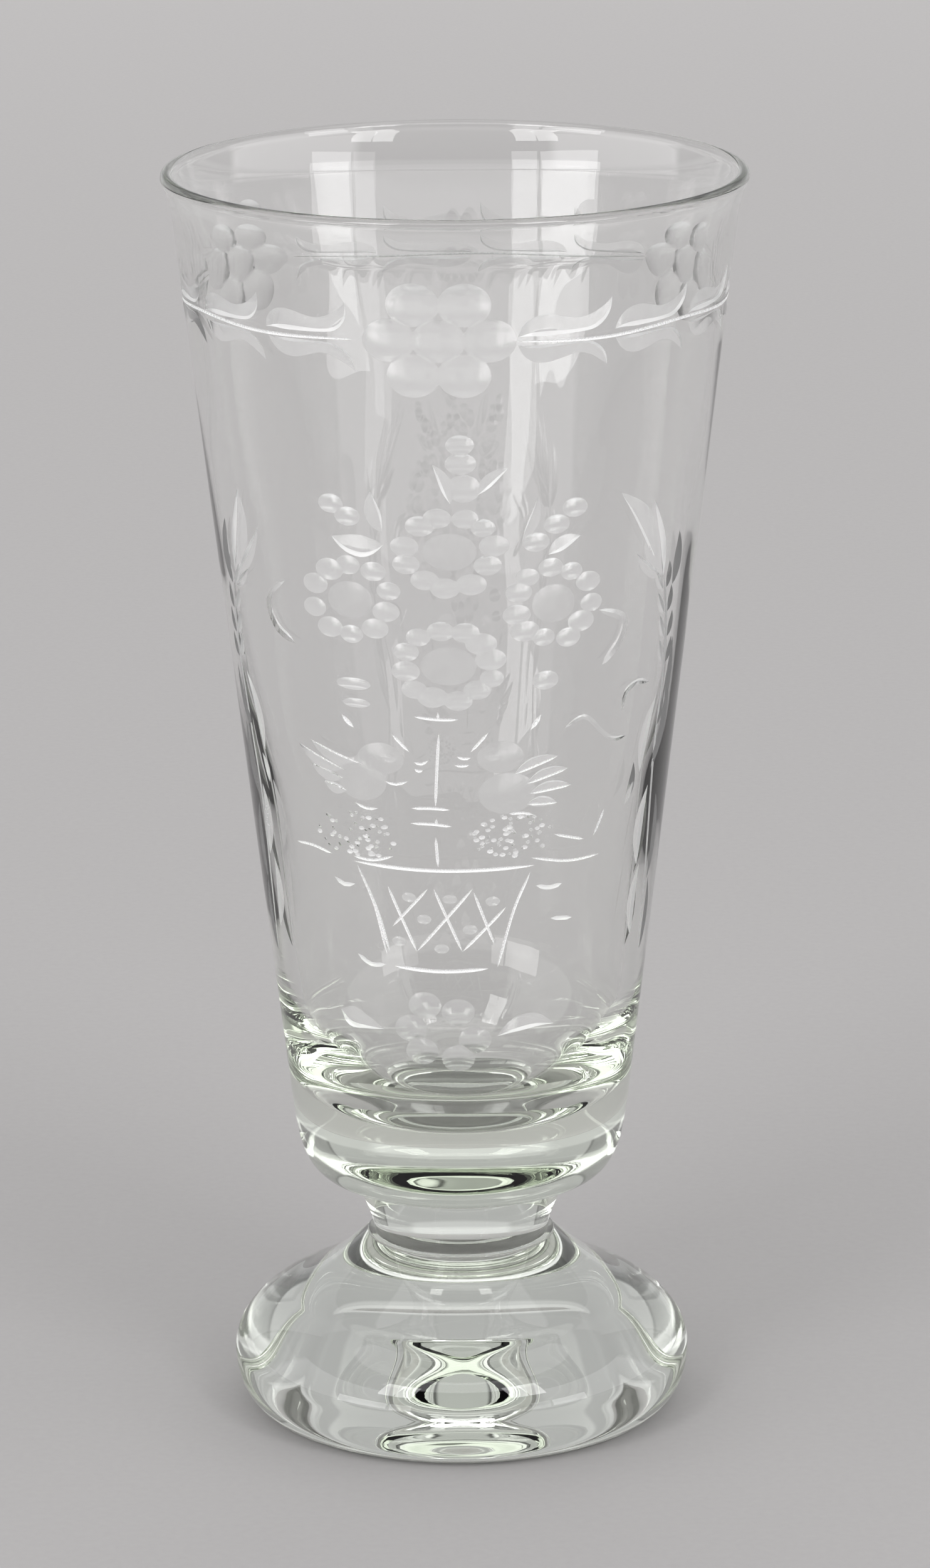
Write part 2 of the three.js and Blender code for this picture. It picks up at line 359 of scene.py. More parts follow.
# Bunch of flowers: a top sprig, a flower above, one at each side and one below, with side sprigs.
for along, z, width, height in ((0.4, 140.5, 3.7, 2.7), (0.5, 138.0, 4.1, 2.9), (0.9, 134.7, 4.4, 3.7)):
    pearl(along, z, width, height)
leaf((-0.8, 132.6), (-3.1, 137.9), 0.85, -1)
leaf((2.6, 133.8), (6.6, 137.3), 0.8, 1)
daisy(-1.0, 126.2, 11, (5.7, 4.7), (7.0, 5.0), first=0.1)
daisy(-14.3, 119.1, 10, (5.5, 4.8), (6.4, 5.0), first=0.3)
daisy(12.7, 118.6, 11, (5.4, 4.9), (6.0, 5.2), first=0.5)
daisy(-1.2, 110.7, 12, (5.8, 4.8), (7.2, 5.2), first=0.2)
leaf((-9.8, 128.6), (-11.3, 134.0), 1.1, 1)
leaf((-9.6, 126.9), (-16.8, 127.5), 1.5, 1, steep=1)
leaf((8.4, 127.4), (10.6, 133.2), 0.75, -1)
leaf((11.9, 125.3), (16.5, 127.4), 0.95, 1)
for along, z in ((-14.5, 130.4), (-16.9, 131.9), (10.3, 127.1), (13.1, 129.3), (15.7, 131.3), (11.6, 108.2)):
    pearl(along, z, 3.7, 2.6)
pearl(-14.0, 107.6, 5.0, 1.7, depth=0.3)
pearl(-13.6, 105.0, 4.0, 1.3, depth=0.25)

# Tendrils beside the bunch, cut broad with the edge of a wheel, and short strokes under it.
groove([(-24.7, 120.2), (-27.8, 117.0), (-26.6, 113.8), (-23.2, 111.9)], half=0.6, depth=0.22, matt=0.4)
groove([(19.5, 116.8), (23.6, 115.1), (23.3, 112.5), (20.1, 109.1)], half=0.6, depth=0.22, matt=0.45)
groove([(23.8, 102.0), (24.4, 104.5), (26.9, 105.5), (29.5, 104.9)], half=0.4, matt=0.45)
groove([(14.4, 101.3), (16.5, 102.3), (18.0, 102.1), (20.6, 99.5), (22.5, 98.4), (24.7, 98.4)],
       half=0.35, matt=0.45)
groove([(-15.8, 103.1), (-14.0, 101.5)], half=0.3)
groove([(11.0, 103.5), (9.5, 101.5)], half=0.3)

# Birds facing each other across a post, over a basket.
for line in (((-5.7, 103.7), (-2.8, 103.4), (0.0, 103.4)), ((-2.5, 101.5), (-2.8, 96.0), (-3.0, 91.3)),
             ((-6.2, 91.0), (-3.6, 91.1), (-1.1, 90.9)), ((-6.3, 88.9), (-3.6, 88.9), (-0.9, 88.6)),
             ((-3.0, 87.1), (-2.7, 82.9)), ((-2.6, 104.4), (-2.6, 103.2)), ((-2.9, 89.7), (-2.9, 88.6))):
    groove(line, half=0.2)
pearl(-10.3, 97.6, 6.4, 4.4, depth=0.22, matt=0.47)
pearl(-9.4, 97.7, 3.2, 1.7, depth=0.34)
pearl(-13.0, 94.6, 7.2, 6.2, depth=0.24, matt=0.47)
for line in (((-5.8, 97.4), (-4.8, 97.2), (-3.9, 97.7)), ((-5.7, 96.5), (-5.2, 96.2), (-4.6, 96.3)),
             ((-8.7, 101.1), (-6.4, 98.8)), ((-14.0, 91.1), (-12.4, 90.5), (-10.7, 90.6)),
             ((-9.7, 94.5), (-8.2, 94.2), (-6.6, 94.7))):
    groove(line)
for a, b in (((-12.6, 96.4), (-20.9, 98.8)), ((-15.5, 95.4), (-23.0, 97.9)), ((-15.7, 94.2), (-21.0, 95.6)),
             ((-15.3, 92.6), (-18.8, 93.5))):
    leaf(a, b, 0.75, 1, steep=-1, depth=0.2)
    groove((a, b), half=0.16, depth=0.24)
pearl(5.5, 98.1, 6.2, 4.4, depth=0.22, matt=0.47)
pearl(4.8, 98.2, 3.4, 1.9, depth=0.34)
pearl(6.4, 93.0, 7.7, 5.7, depth=0.24, matt=0.47)
for line in (((-0.2, 98.3), (0.7, 98.0), (1.6, 98.1)), ((-0.5, 97.1), (0.5, 97.0), (1.4, 97.1)),
             ((3.9, 101.5), (1.6, 98.9)), ((6.6, 90.1), (8.4, 90.1), (10.0, 89.7))):
    groove(line)
for a, b in (((7.4, 95.6), (13.4, 97.5)), ((9.0, 94.1), (14.9, 95.6)), ((9.4, 92.7), (15.4, 93.2)),
             ((9.1, 91.2), (13.3, 91.0))):
    leaf(a, b, 0.75, 1, steep=1, depth=0.2)
    groove((a, b), half=0.16, depth=0.24)

# Bushes under the birds, dotted with the point of a small wheel, on a few strokes of ground.
for middle, spread, count in (((-14.0, 86.6), (6.2, 3.2), 64), ((7.0, 87.0), (5.6, 3.0), 72)):
    for share, way, size in hand.uniform(size=(count, 3)):
        reach = math.sqrt(share)
        pearl(middle[0] + spread[0] * reach * math.cos(2 * math.pi * way),
              middle[1] + spread[1] * reach * math.sin(2 * math.pi * way),
              0.4 + 0.55 * size, 0.35 + 0.3 * size, depth=0.14, matt=0.35 + 0.45 * size)
for line in (((-24.2, 83.8), (-21.0, 83.9), (-17.8, 83.3)), ((-14.4, 83.5), (-11.5, 83.3), (-8.7, 84.1)),
             ((12.9, 86.6), (17.5, 85.2)), ((9.6, 83.7), (15.0, 82.6), (20.1, 82.6)),
             ((20.9, 88.8), (19.1, 85.4))):
    groove(line)

# Basket with a lattice and dots.
groove([(-14.3, 82.8), (-3.0, 82.4), (10.1, 82.6)], half=0.25)
groove([(-8.7, 68.6), (-2.5, 68.2), (3.8, 68.5)], half=0.27)
for line in (((-13.8, 82.3), (-11.4, 77.0), (-9.7, 70.2)), ((-12.9, 80.6), (-10.9, 76.0), (-9.3, 70.6)),
             ((9.5, 81.7), (7.2, 76.5), (5.0, 68.6)), ((-9.5, 79.9), (-5.6, 70.9)),
             ((-4.1, 79.8), (-8.9, 74.2)), ((-3.3, 79.8), (0.4, 71.0)), ((1.8, 79.9), (-5.6, 70.9)),
             ((1.9, 79.4), (4.6, 71.9)), ((6.2, 77.1), (0.4, 71.0))):
    groove(line)
for along, z in ((-6.6, 78.5), (-1.2, 78.4), (4.4, 78.0), (-4.6, 75.5), (1.4, 74.1), (-8.0, 72.2),
                 (-2.3, 71.4)):
    pearl(along, z, 2.0, 1.4, depth=0.2)
for line in (((-17.5, 80.1), (-15.9, 79.3), (-14.2, 79.6)), ((10.3, 79.7), (12.2, 79.2), (14.1, 79.5)),
             ((-14.0, 69.7), (-12.0, 68.5), (-9.9, 68.7)), ((12.4, 74.8), (15.7, 74.4))):
    groove(line, half=0.3, matt=0.75)

# Flower below the basket, between two leaves.
for along, z in ((-0.2, 62.4), (-4.6, 63.3), (-6.5, 59.9), (-5.0, 56.7), (-0.2, 55.8), (2.0, 58.4)):
    pearl(along, z, 4.4, 3.8, depth=0.4, matt=0.48)
blade([(4.9, 58.8, 0.02), (7.4, 60.2, 1.0), (10.2, 60.6, 1.0), (13.0, 59.7, 0.02)], ridge=-0.6)
blade([(-10.2, 59.4, 0.02), (-12.6, 60.0, 0.9), (-15.2, 60.6, 1.5), (-16.9, 61.2, 0.02)], ridge=0.6)

# Wreath: a leafy branch up each flank of the bowl, which frames the picture. Low down it has long, slender
# leaves, then pairs of small ones, and at the top a few broad ones.
for stalk, broad, slender in (
    (((-31.6, 66.0), (-32.2, 77.0), (-33.0, 88.0), (-35.0, 97.0), (-37.0, 106.0), (-37.6, 112.0),
      (-37.2, 119.0)),
     (((-36.6, 119.2), (-34.2, 131.2), 2.2, -1), ((-38.4, 117.6), (-38.9, 126.1), 1.4, 1),
      ((-36.0, 118.8), (-29.8, 126.6), 1.0, -1), ((-36.4, 117.4), (-32.6, 120.4), 0.7, -1)),
     (((-34.6, 97.2), (-39.0, 105.6), 0.8, 1), ((-31.0, 95.2), (-35.2, 105.5), 0.9, -1),
      ((-30.2, 90.8), (-31.9, 94.6), 0.6, -1), ((-34.2, 88.0), (-37.2, 98.0), 0.9, 1),
      ((-31.8, 80.0), (-32.6, 90.0), 1.1, -1), ((-33.4, 76.0), (-34.6, 87.0), 1.0, 1),
      ((-30.0, 70.0), (-30.4, 80.0), 1.0, -1), ((-31.8, 66.0), (-33.6, 76.0), 0.9, 1))),
    (((31.0, 66.0), (31.4, 77.0), (31.6, 88.0), (32.0, 96.0), (33.2, 104.0), (33.4, 112.0), (32.2, 119.0)),
     (((32.0, 119.2), (29.3, 130.2), 2.4, 1), ((31.2, 120.4), (22.9, 132.3), 1.6, -1),
      ((34.6, 117.4), (36.0, 124.6), 1.2, -1), ((31.4, 119.2), (25.9, 123.4), 0.8, 1)),
     (((28.1, 92.4), (31.6, 102.4), 1.0, 1), ((24.9, 88.6), (26.6, 94.2), 0.7, -1),
      ((31.0, 92.0), (35.4, 104.6), 1.0, -1), ((32.4, 98.0), (35.8, 110.0), 1.0, -1),
      ((28.4, 79.0), (30.6, 90.0), 1.1, 1), ((32.2, 76.0), (33.6, 88.0), 1.0, -1),
      ((27.6, 69.0), (29.2, 79.0), 1.0, 1), ((31.2, 66.0), (32.8, 76.0), 0.9, -1)))):
    groove(stalk, half=0.3, matt=0.7)
    for foot_at, tip, half, bow in broad + slender:
        leaf(foot_at, tip, half, bow)
    line = through(stalk, 1.0)
    ways = np.gradient(line, axis=0)
    for at in range(len(line) - 15, len(line) - 2, 4):
        way = ways[at] / np.hypot(*ways[at])
        for turned_to in (-1, 1):
            across = turned_to * np.array([-way[1], way[0]])
            leaf(line[at] + 0.4 * across, line[at] + 3.4 * way + 1.7 * across, 0.7, turned_to)


# Bowl: the beaker, blown as one gather of clear soda-lime glass and opened to a cone. The base is left thick,
# the wall thins upwards, and the rim was melted to a bead in the fire. Its outside carries the engraving.
HEEL_FLAT, HEEL_STEEP = 0.78, 0.7  # how far the underside stays level, and the heel keeps the cone's slope
WALL, LOWER_WALL = 1.45, 3.4  # the upper wall, and the wall just above the rounded floor
FLOOR_HEIGHT, FLOOR_RADIUS, FLOOR_DISH = 42.2, 8.0, 0.2
LOWER_HEIGHT, THIN_HEIGHT = 60.2, 115.2  # where the wall has those two thicknesses
CURL_FOOT, CURL_BEND = 163.0, 166.22  # the wall leaves the cone and curls out to the rim
BEAD_HEIGHT, BEAD = 169.1, 0.9
RIM_FLARE = 0.73
COARSE_ROWS = 50  # rows of plain facets up the wall, between the cuts
UNROLLED = 30.0  # radius at which the wall is laid flat to mesh it
CLEARANCE = 0.45  # plain points keep this far from a cut
NEARBY = 3.0  # a place looks at the cuts within this distance
AT_BORDER = 1e-3  # points this close to the border of the flat wall lie on it
LEAST_CUT = 5e-4  # a face that is cut less deep is polished
PAST_LAST_LEAF = 64.9  # along the wall, from a flower of the garland to just past its last leaf
SEAM = math.radians(GARLAND_FIRST + FLOWER_TURN
                    + math.degrees(PAST_LAST_LEAF / wall_radius(GARLAND_HEIGHT)) - 360.0)


def depth_of(cut, turn, z):
    """Depth of one cut at places (turn, height), how far outside its edge they lie, both in mm, and how matt
    it is there. A pearl measures by its ellipse; a line by the nearest point of its polyline, as a share of
    the half width there, and may be more matt on its steep side."""
    along = ((turn - cut["turn"] + np.pi) % (2 * np.pi) - np.pi) * wall_radius(z)
    p = np.stack([along, z], 1)
    if "centre" in cut:
        rho = np.hypot(*((p - cut["centre"]) / cut["half"]).T)
        depth = cut["depth"] * np.clip(1 - rho**2, 0, None)
        return depth, (rho - 1) * cut["half"].min(), np.full(len(p), cut["matt"][0])
    a, way = cut["line"][:-1], np.diff(cut["line"], axis=0)
    length = np.hypot(*way.T)
    off = p[:, None] - a
    share = np.clip((off * way).sum(2) / length**2, 0, 1)
    away = np.hypot(*np.moveaxis(off - share[..., None] * way, 2, 0))
    best = away.argmin(1)
    rows = np.arange(len(p))
    half = cut["half"][best] + (cut["half"][best + 1] - cut["half"][best]) * share[rows, best]
    side = np.sign(way[best, 0] * off[rows, best, 1] - way[best, 1] * off[rows, best, 0])
    s = side * away[rows, best] / half
    ridge = cut["ridge"]
    fall = np.where(s < ridge, (s + 1) / (ridge + 1), (1 - s) / (1 - ridge))
    full = (half / cut["half"].max()) ** 0.6
    matt = np.where((s - ridge) * ridge > 0, cut["matt"][1], cut["matt"][0])
    return cut["depth"] * full * np.clip(fall, 0, None), away[rows, best] - half, matt


def depth_at(turn, z):
    """Deepest of all cuts at each place, the distance to the nearest cut edge, and how matt the deepest cut
    is there, looking at nearby cuts only."""
    depth, free, matt = np.zeros(len(z)), np.full(len(z), 9.0), np.zeros(len(z))
    for cut in cuts:
        shape = cut["line"] if "line" in cut else cut["centre"] + cut["half"] * np.array([[-1, -1], [1, 1]])
        low, high = shape.min(0) - NEARBY, shape.max(0) + NEARBY
        along = ((turn - cut["turn"] + np.pi) % (2 * np.pi) - np.pi) * wall_radius(z)
        near = np.flatnonzero((along > low[0]) & (along < high[0]) & (z > low[1]) & (z < high[1]))
        if len(near):
            d, f, m = depth_of(cut, turn[near], z[near])
            matt[near] = np.where(d > depth[near], m, matt[near])
            depth[near] = np.maximum(depth[near], d)
            free[near] = np.minimum(free[near], f)
    return depth, free, matt


def cut_lines(cut):
    """Lines of mesh points that a cut needs, as (along, height): rings at shares of a pearl's half axes, or
    the edges, ridge and levels of a line, which meet at its ends."""
    if "centre" in cut:
        size = cut["half"].max()
        count = max(9, round(4.2 * size / 0.5)) if size > 0.8 else 7
        a = np.linspace(0.0, 2 * np.pi, count + 1)
        circle = np.stack([np.cos(a), np.sin(a)], 1)
        shares = (1.0, 0.8, 0.52, 0.22) if size > 1.2 else (1.0, 0.5)
        return [cut["centre"] + cut["half"] * circle * share for share in shares]
    line = cut["line"]
    way = np.gradient(line, axis=0)
    normal = np.stack([-way[:, 1], way[:, 0]], 1) / np.hypot(*way.T)[:, None]
    rows = [line + normal * (level * cut["half"])[:, None] for level in cut["levels"]]
    return [np.vstack([line[:1], row[1:-1], line[-1:]]) for row in rows]


# The wall laid flat: a coarse grid of plain points, and the lines of all cuts as edges for the mesh to keep.
flat_width = 2 * np.pi * UNROLLED
columns = np.arange(COLUMNS + 1)
grid_z = np.linspace(BASE_HEIGHT, CURL_FOOT, COARSE_ROWS)
grid_turn = SEAM + 2 * np.pi * columns / COLUMNS
turns, heights = (g.reshape(-1) for g in np.meshgrid(grid_turn, grid_z))
on_edge = np.isin(np.arange(len(turns)) % (COLUMNS + 1), (0, COLUMNS))
on_edge |= (heights == BASE_HEIGHT) | (heights == CURL_FOOT)
keep = on_edge | (depth_at(turns, heights)[1] > CLEARANCE)
flat = [np.stack([(turns[keep] - SEAM) * UNROLLED, heights[keep]], 1)]
number = np.full(len(turns), -1)
number[keep] = np.arange(keep.sum())
number = number.reshape(COARSE_ROWS, COLUMNS + 1)
border = np.concatenate([number[0], number[1:, -1], number[-1, -2::-1], number[-2::-1, 0]])
edges = [np.stack([border[:-1], border[1:]], 1)]
total = int(keep.sum())
for cut in cuts:
    for row in cut_lines(cut):
        turn = cut["turn"] + row[:, 0] / wall_radius(row[:, 1])
        flat.append(np.stack([((turn - SEAM) % (2 * np.pi)) * UNROLLED, row[:, 1]], 1))
        edges.append(total + np.stack([np.arange(len(row) - 1), np.arange(1, len(row))], 1))
        total += len(row)
flat = np.concatenate(flat)
meshed = delaunay_2d_cdt([Vector(p) for p in flat], np.concatenate(edges).tolist(), [], 0, 1e-4, False)
flat = np.array([p[:] for p in meshed[0]])
faces = np.array(meshed[2])
flat_u, flat_z = flat[:, 0], flat[:, 1]
corner_uv = np.stack([flat_u / flat_width,
                      0.16 + 0.4 * (flat_z - BASE_HEIGHT) / (CURL_FOOT - BASE_HEIGHT)], 1)
# Border points go exactly onto the columns and heights of the heel and the rim.
at_side = (flat_u < AT_BORDER) | (flat_u > flat_width - AT_BORDER)
at_low, at_high = flat_z < BASE_HEIGHT + AT_BORDER, flat_z > CURL_FOOT - AT_BORDER
snapped = SEAM + 2 * np.pi * (np.round(flat_u / flat_width * COLUMNS) % COLUMNS) / COLUMNS
turn = np.where(at_side | at_low | at_high, snapped, SEAM + flat_u / UNROLLED)
z = np.where(at_low, BASE_HEIGHT, np.where(at_high, CURL_FOOT, flat_z))
side_z = grid_z[np.abs(z[:, None] - grid_z).argmin(1)]
z = np.where(at_side, side_z, z)
depth = depth_at(turn, z)[0]
radius = wall_radius(z) - depth
wall_points = np.stack([radius * np.sin(turn), -radius * np.cos(turn), z], 1)
middle = flat[faces].mean(1)
face_depth, _, face_matt = depth_at(SEAM + middle[:, 0] / UNROLLED, middle[:, 1])
is_cut = face_depth > LEAST_CUT
lean = math.atan(TAPER)
cone_normal = np.stack([np.sin(turn) * math.cos(lean), -np.cos(turn) * math.cos(lean),
                        np.full(len(turn), -math.sin(lean))], 1)
engraved_wall = dict(points=wall_points, faces=faces, uv=corner_uv[faces], weld=0.0, cut=is_cut * face_matt)

# Underside, heel, bead and inside of the bowl.
underside = STEM_TOP + WELD_SLIT
heel_rise, heel_run = BASE_HEIGHT - underside, BASE_RADIUS - STEM_TOP_RADIUS
heel = bezier([(STEM_TOP_RADIUS, underside), (STEM_TOP_RADIUS + HEEL_FLAT * heel_run, underside),
               (wall_radius(BASE_HEIGHT - HEEL_STEEP * heel_rise), BASE_HEIGHT - HEEL_STEEP * heel_rise),
               (BASE_RADIUS, BASE_HEIGHT)], 36)
bead_radius = wall_radius(BEAD_HEIGHT) - WALL / 2 + RIM_FLARE
rim = arc((bead_radius, BEAD_HEIGHT), (BEAD, BEAD), 0, 180, 20)
bead = path(
    bezier([(wall_radius(CURL_FOOT), CURL_FOOT), (wall_radius(CURL_BEND), CURL_BEND), rim[0]], 12),
    rim,
    bezier([rim[-1], (wall_radius(CURL_BEND) - WALL, CURL_BEND),
            (wall_radius(CURL_FOOT) - WALL, CURL_FOOT)], 12),
)
heel[-1] = (BASE_RADIUS, BASE_HEIGHT)
bead[0] = (wall_radius(CURL_FOOT), CURL_FOOT)
thickening = (THIN_HEIGHT - LOWER_HEIGHT) / 2
bend_height = (LOWER_HEIGHT + FLOOR_HEIGHT) / 2
lower_radius = wall_radius(LOWER_HEIGHT) - LOWER_WALL
upright = np.linspace(CURL_FOOT, THIN_HEIGHT, 40)
inside = path(
    np.stack([wall_radius(upright) - WALL, upright], 1),
    bezier([(wall_radius(THIN_HEIGHT) - WALL, THIN_HEIGHT),
            (wall_radius(THIN_HEIGHT - thickening) - WALL, THIN_HEIGHT - thickening),
            (wall_radius(LOWER_HEIGHT + thickening) - LOWER_WALL, LOWER_HEIGHT + thickening),
            (lower_radius, LOWER_HEIGHT)], 26),
    bezier([(lower_radius, LOWER_HEIGHT), (wall_radius(bend_height) - LOWER_WALL, bend_height),
            ((lower_radius + FLOOR_RADIUS) / 2, FLOOR_HEIGHT + 2 * FLOOR_DISH),
            (FLOOR_RADIUS, FLOOR_HEIGHT + FLOOR_DISH)], 30),
    bezier([(FLOOR_RADIUS, FLOOR_HEIGHT + FLOOR_DISH), (FLOOR_RADIUS / 2, FLOOR_HEIGHT),
            (0.0, FLOOR_HEIGHT)], 14),
)
inside[0] = bead[-1]
inside[-1, 0] = 0.0
cap = np.array([(0.0, underside), (STEM_TOP_RADIUS / 2, underside), (STEM_TOP_RADIUS, underside)])
inner_patches = turned(inside, (0.6, 1.0), seam=SEAM)
# The blown inside swells and sinks by a few hundredths of a millimetre; the swells die out at the bead and
# the pole. Each has a height, a number of waves round the axis, a rise up the wall per radian, and a phase.
SWELLS = ((0.040, 3, 23, 0.4), (0.035, 7, -13, 2.0), (0.030, 13, 7, 1.1), (0.016, 2, 4.5, 0.0))
SWELL_FADE = 12.0
for patch in inner_patches:
    x, y, h = patch["points"].T
    a = np.arctan2(x, -y)
    swell = sum(size * np.sin(waves * a + h / pitch + phase) for size, waves, pitch, phase in SWELLS)
    swell *= np.clip((CURL_FOOT - h) / SWELL_FADE, 0, 1) * np.clip(np.hypot(x, y) / SWELL_FADE, 0, 1)
    patch["points"] = patch["points"] * (1 + np.stack([swell, swell, 0 * swell], 1) / UNROLLED)
bowl = closed_piece("bowl_engraved", [
    engraved_wall,
    *turned(cap, (0.0, 0.04), weld=1.0, seam=SEAM),
    *turned(heel, (0.04, 0.16), seam=SEAM),
    *turned(bead, (0.56, 0.6), seam=SEAM),
    *inner_patches,
], crease=34)
# The edge of every cut stays sharp, and the polished cone between the cuts keeps the cone's own normals.
mesh = bowl.data
cut_flags = np.zeros(len(mesh.polygons), np.float32)
mesh.attributes["cut"].data.foreach_get("value", cut_flags)
loop_edge = np.zeros(len(mesh.loops), np.int32)
mesh.loops.foreach_get("edge_index", loop_edge)
loop_total = np.zeros(len(mesh.polygons), np.int32)
mesh.polygons.foreach_get("loop_total", loop_total)
loop_cut = np.repeat((cut_flags > 0).astype(float), loop_total)
beside_cut = np.bincount(loop_edge, loop_cut, len(mesh.edges))
sharp = np.zeros(len(mesh.edges), bool)
mesh.attributes["sharp_edge"].data.foreach_get("value", sharp)
sharp |= beside_cut == 1.0
mesh.attributes["sharp_edge"].data.foreach_set("value", sharp)
normals = np.zeros((len(mesh.loops), 3))
wall_loops = 3 * len(faces)
normals[:wall_loops] = np.where(np.repeat(is_cut, 3)[:, None], 0.0, cone_normal[faces.reshape(-1)])
mesh.normals_split_custom_set(normals.tolist())
mesh.materials.append(soda_lime("soda-lime glass, blown and wheel-engraved",
                                striae_mm=11.0, striae_depth_mm=0.01, tint=7.0))
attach(bowl, "root")
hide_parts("bowl")


# Floor: a sheet of pale grey, matt paper that lies just under the glass and runs out far past the picture, so
# that every side view has it as its ground.
FLOOR_SPAN = 4.4  # radius, metres
FLOOR_SINK = 0.05  # mm below the ground ring
FIBRES = 1.2  # mm
bpy.ops.mesh.primitive_circle_add(vertices=96, radius=FLOOR_SPAN, fill_type="TRIFAN", location=(0, 0, 0))
floor = bpy.context.object
floor.name = "floor_paper"
floor.data.transform(Matrix.Translation((0, 0, -FLOOR_SINK * MM)))
# Uncoated paper: hardly any gloss, and a faint mottle from its fibres.
paper = bpy.data.materials.new("pale grey paper, matt")
paper.use_nodes = True
sheet = paper.node_tree.nodes["Principled BSDF"]
sheet.inputs["Roughness"].default_value = 0.9
sheet.inputs["Specular IOR Level"].default_value = 0.1
fibre_at = add_node(paper.node_tree, "TexCoord").outputs["Object"]
fibre = add_node(paper.node_tree, "TexNoise", Vector=fibre_at, Scale=1.0 / (FIBRES * MM), Detail=3.0)
tone = add_node(paper.node_tree, "Mix", dict(data_type="RGBA"), _0=fibre.outputs["Fac"],
                _6=linear("A3A1A1"), _7=linear("A8A6A6"))
paper.node_tree.links.new(tone.outputs[2], sheet.inputs["Base Color"])
floor.data.materials.append(paper)


# Light: a plain room with pale paper behind the glass. It is pale at the height of the table, and above that
# bright to both sides, dim beside the paper and behind the viewer, and bright again high up. The viewer
# stands between two low windows and two high ones.
PAPER_GLOW, ROOM_GLOW, SIDE_GLOW, FRONT_GLOW, CEILING_GLOW = 0.6, 0.08, 1.3, 2.0, 1.0
world = bpy.data.worlds.new("room")
bpy.context.scene.world = world
world.use_nodes = True
room = world.node_tree
way = add_node(room, "SeparateXYZ", Vector=add_node(room, "TexCoord").outputs["Generated"])
up = way.outputs[2]
aside = add_node(room, "Math", dict(operation="ARCTAN2"), _0=way.outputs[0], _1=way.outputs[1])
aside = add_node(room, "Math", dict(operation="ABSOLUTE"), _0=aside.outputs[0]).outputs[0]


def between(value, start, end, soft, convert):
    """One between two limits and nothing outside, with smooth steps; convert turns degrees into the measure
    of the value."""
    smooth = dict(interpolation_type="SMOOTHSTEP")
    rise = add_node(room, "MapRange", smooth, Value=value,
                    _1=convert(start - soft), _2=convert(start), _3=0.0, _4=1.0)
    fall = add_node(room, "MapRange", smooth, Value=value,
                    _1=convert(end), _2=convert(end + soft), _3=1.0, _4=0.0)
    both = add_node(room, "Math", dict(operation="MULTIPLY"), _0=rise.outputs[0], _1=fall.outputs[0])
    return both.outputs[0]


def rise_of(degrees):
    """Upward part of a direction that many degrees above the table: its sine, which runs on evenly past
    straight up and straight down."""
    held = max(-90.0, min(degrees, 90.0))
    return math.sin(math.radians(held)) + (degrees - held) / 90.0


# Each part of the room: turn from straight behind the glass, height above the table and softness, in degrees,
# and the brightness that it adds.
ROOM_PARTS = (
    (-20, 200, -90, 4.5, 2, PAPER_GLOW - ROOM_GLOW),  # the pale paper, all round
    (-20, 42, 6.5, 45, 2, 0.38),  # the paper that stands behind the glass
    (-20, 20, -90, 8, 6, 0.15),  # its low middle, a little brighter
    (76, 134, 6.5, 36, 6, SIDE_GLOW),  # both sides
    (132, 200, 47, 61, 5, FRONT_GLOW),  # high up behind the viewer
    (46, 74, 5, 30, 4, 0.2),  # dim, beside the paper
    (122, 200, -1, 8, 3, 0.9),  # low behind the viewer
    (-20, 200, 60, 76, 4, CEILING_GLOW),  # the ceiling
    (-20, 200, 80, 95, 4, 0.4),  # straight above
)
brightness = ROOM_GLOW
for turn_from, turn_to, low, high, soft, part_glow in ROOM_PARTS:
    share = add_node(room, "Math", dict(operation="MULTIPLY"),
                     _0=between(aside, turn_from, turn_to, soft, math.radians),
                     _1=between(up, low, high, min(soft, 2), rise_of))
    added = add_node(room, "Math", dict(operation="MULTIPLY_ADD"),
                     _0=share.outputs[0], _1=part_glow, _2=brightness)
    brightness = added.outputs[0]
room.links.new(brightness, room.nodes["Background"].inputs["Color"])


def window_pane(name, place, look_at, width, height, glow):
    """A flat, even pane of light whose brightness, not its power, is given."""
    lamp = bpy.data.lights.new(name, "AREA")
    lamp.shape = "RECTANGLE"
    lamp.size, lamp.size_y = width, height
    lamp.energy = glow * math.pi * width * height
    pane = bpy.data.objects.new(name, lamp)
    pane.location = place
    pane.rotation_euler = (Vector(look_at) - Vector(place)).to_track_quat("-Z", "Y").to_euler()
    pane.visible_camera = False
    bpy.context.scene.collection.objects.link(pane)
    return pane


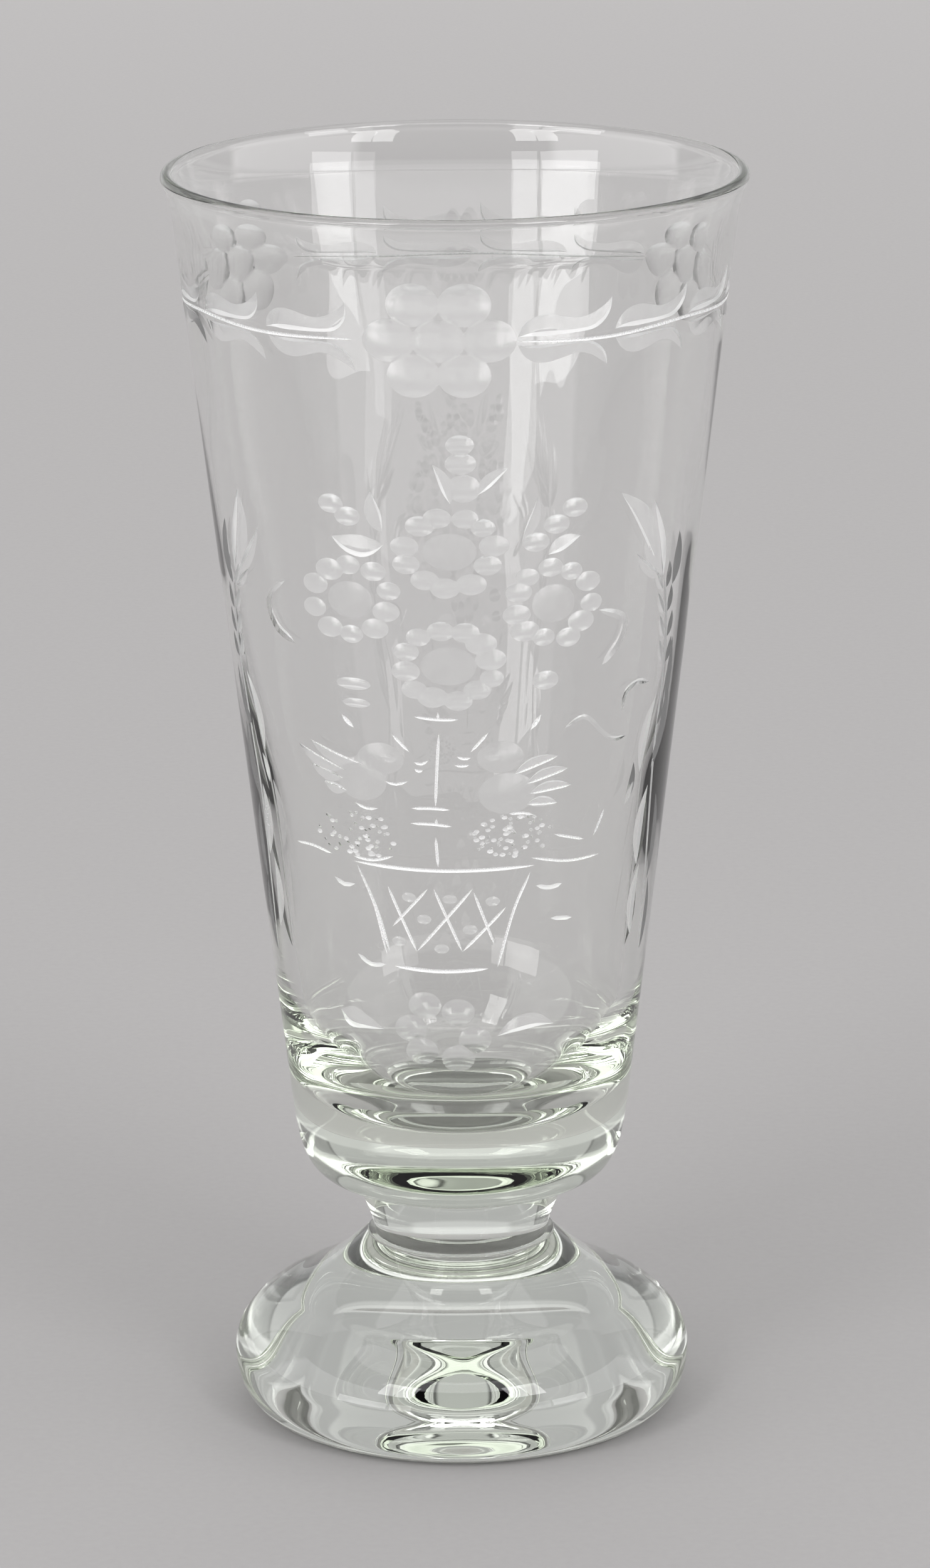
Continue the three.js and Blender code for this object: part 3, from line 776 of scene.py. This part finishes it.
# Each window has two panes: turns from straight in front to their edges and heights above the table, in
# degrees, and brightness.
WINDOWS_AWAY = 3.0  # metres
PANES = (
    ("left_near", -25, -36, 2.2, 16, 2.7),
    ("left_far", -38, -64, 3.4, 16, 3.4),
    ("right_near", 35, 44.5, 2.4, 16, 1.5),
    ("right_far", 46, 64, 3.4, 16, 3.0),
    ("high_left_near", -28, -36, 31, 50, 6.0),
    ("high_left_far", -38, -46, 31, 50, 6.0),
    ("high_right_near", 28, 36, 31, 50, 6.0),
    ("high_right_far", 38, 46, 31, 50, 6.0),
)
for name, first, last, sill, top, pane_glow in PANES:
    aim, lift = math.radians((first + last) / 2), math.radians((sill + top) / 2)
    towards = Vector((math.sin(aim) * math.cos(lift), -math.cos(aim) * math.cos(lift), math.sin(lift)))
    width, tall = (2 * WINDOWS_AWAY * math.tan(math.radians(abs(b - a) / 2))
                   for a, b in ((first, last), (sill, top)))
    window_pane("window_" + name, towards * WINDOWS_AWAY, (0, 0, 0), width, tall, pane_glow)
# Soft lamps over the far paper all round, which is lighter than the near paper; the glass does not see them.
WASH_HEIGHT = 1.6  # metres
for x, y, width, deep, wash_glow in ((0, 2.4, 4.0, 1.8, 1.7), (-2.6, 0, 1.8, 4.0, 1.2),
                                     (2.6, 0, 1.8, 4.0, 1.2), (0, -2.8, 4.0, 1.8, 1.1)):
    wash = window_pane("wash_far_paper", (x, y, WASH_HEIGHT), (x, y, 0), width, deep, wash_glow)
    wash.visible_transmission = False
    wash.visible_glossy = False


# Camera: a long lens, placed where the photograph was taken from. It looks down by fifteen and a half degrees
# and is rolled and shifted a little.
PICTURE_HEIGHT = 2502  # pixels
FOCAL_PIXELS = 10199.4
SHIFT_PIXELS = 10.5
EYE_PLACE = (0.0, -0.8249, 0.3158)  # metres
LOOK_DOWN = 0.2711  # radians
ROLL = -0.34  # degrees
camera = bpy.data.cameras.new("camera")
camera.lens = FOCAL_PIXELS * camera.sensor_width / PICTURE_HEIGHT
camera.shift_x = SHIFT_PIXELS / PICTURE_HEIGHT
eye = bpy.data.objects.new("camera", camera)
eye.location = EYE_PLACE
roll = Matrix.Rotation(math.radians(ROLL), 3, "Z")
eye.rotation_euler = (Matrix.Rotation(math.pi / 2 - LOOK_DOWN, 3, "X") @ roll).to_euler()
bpy.context.scene.collection.objects.link(eye)
bpy.context.scene.camera = eye
bpy.context.scene.view_settings.view_transform = "Standard"
# Light crosses many surfaces in a glass, so paths are let run on.
bpy.context.scene.cycles.max_bounces = 32
bpy.context.scene.cycles.transmission_bounces = 32
bpy.context.scene.cycles.glossy_bounces = 16
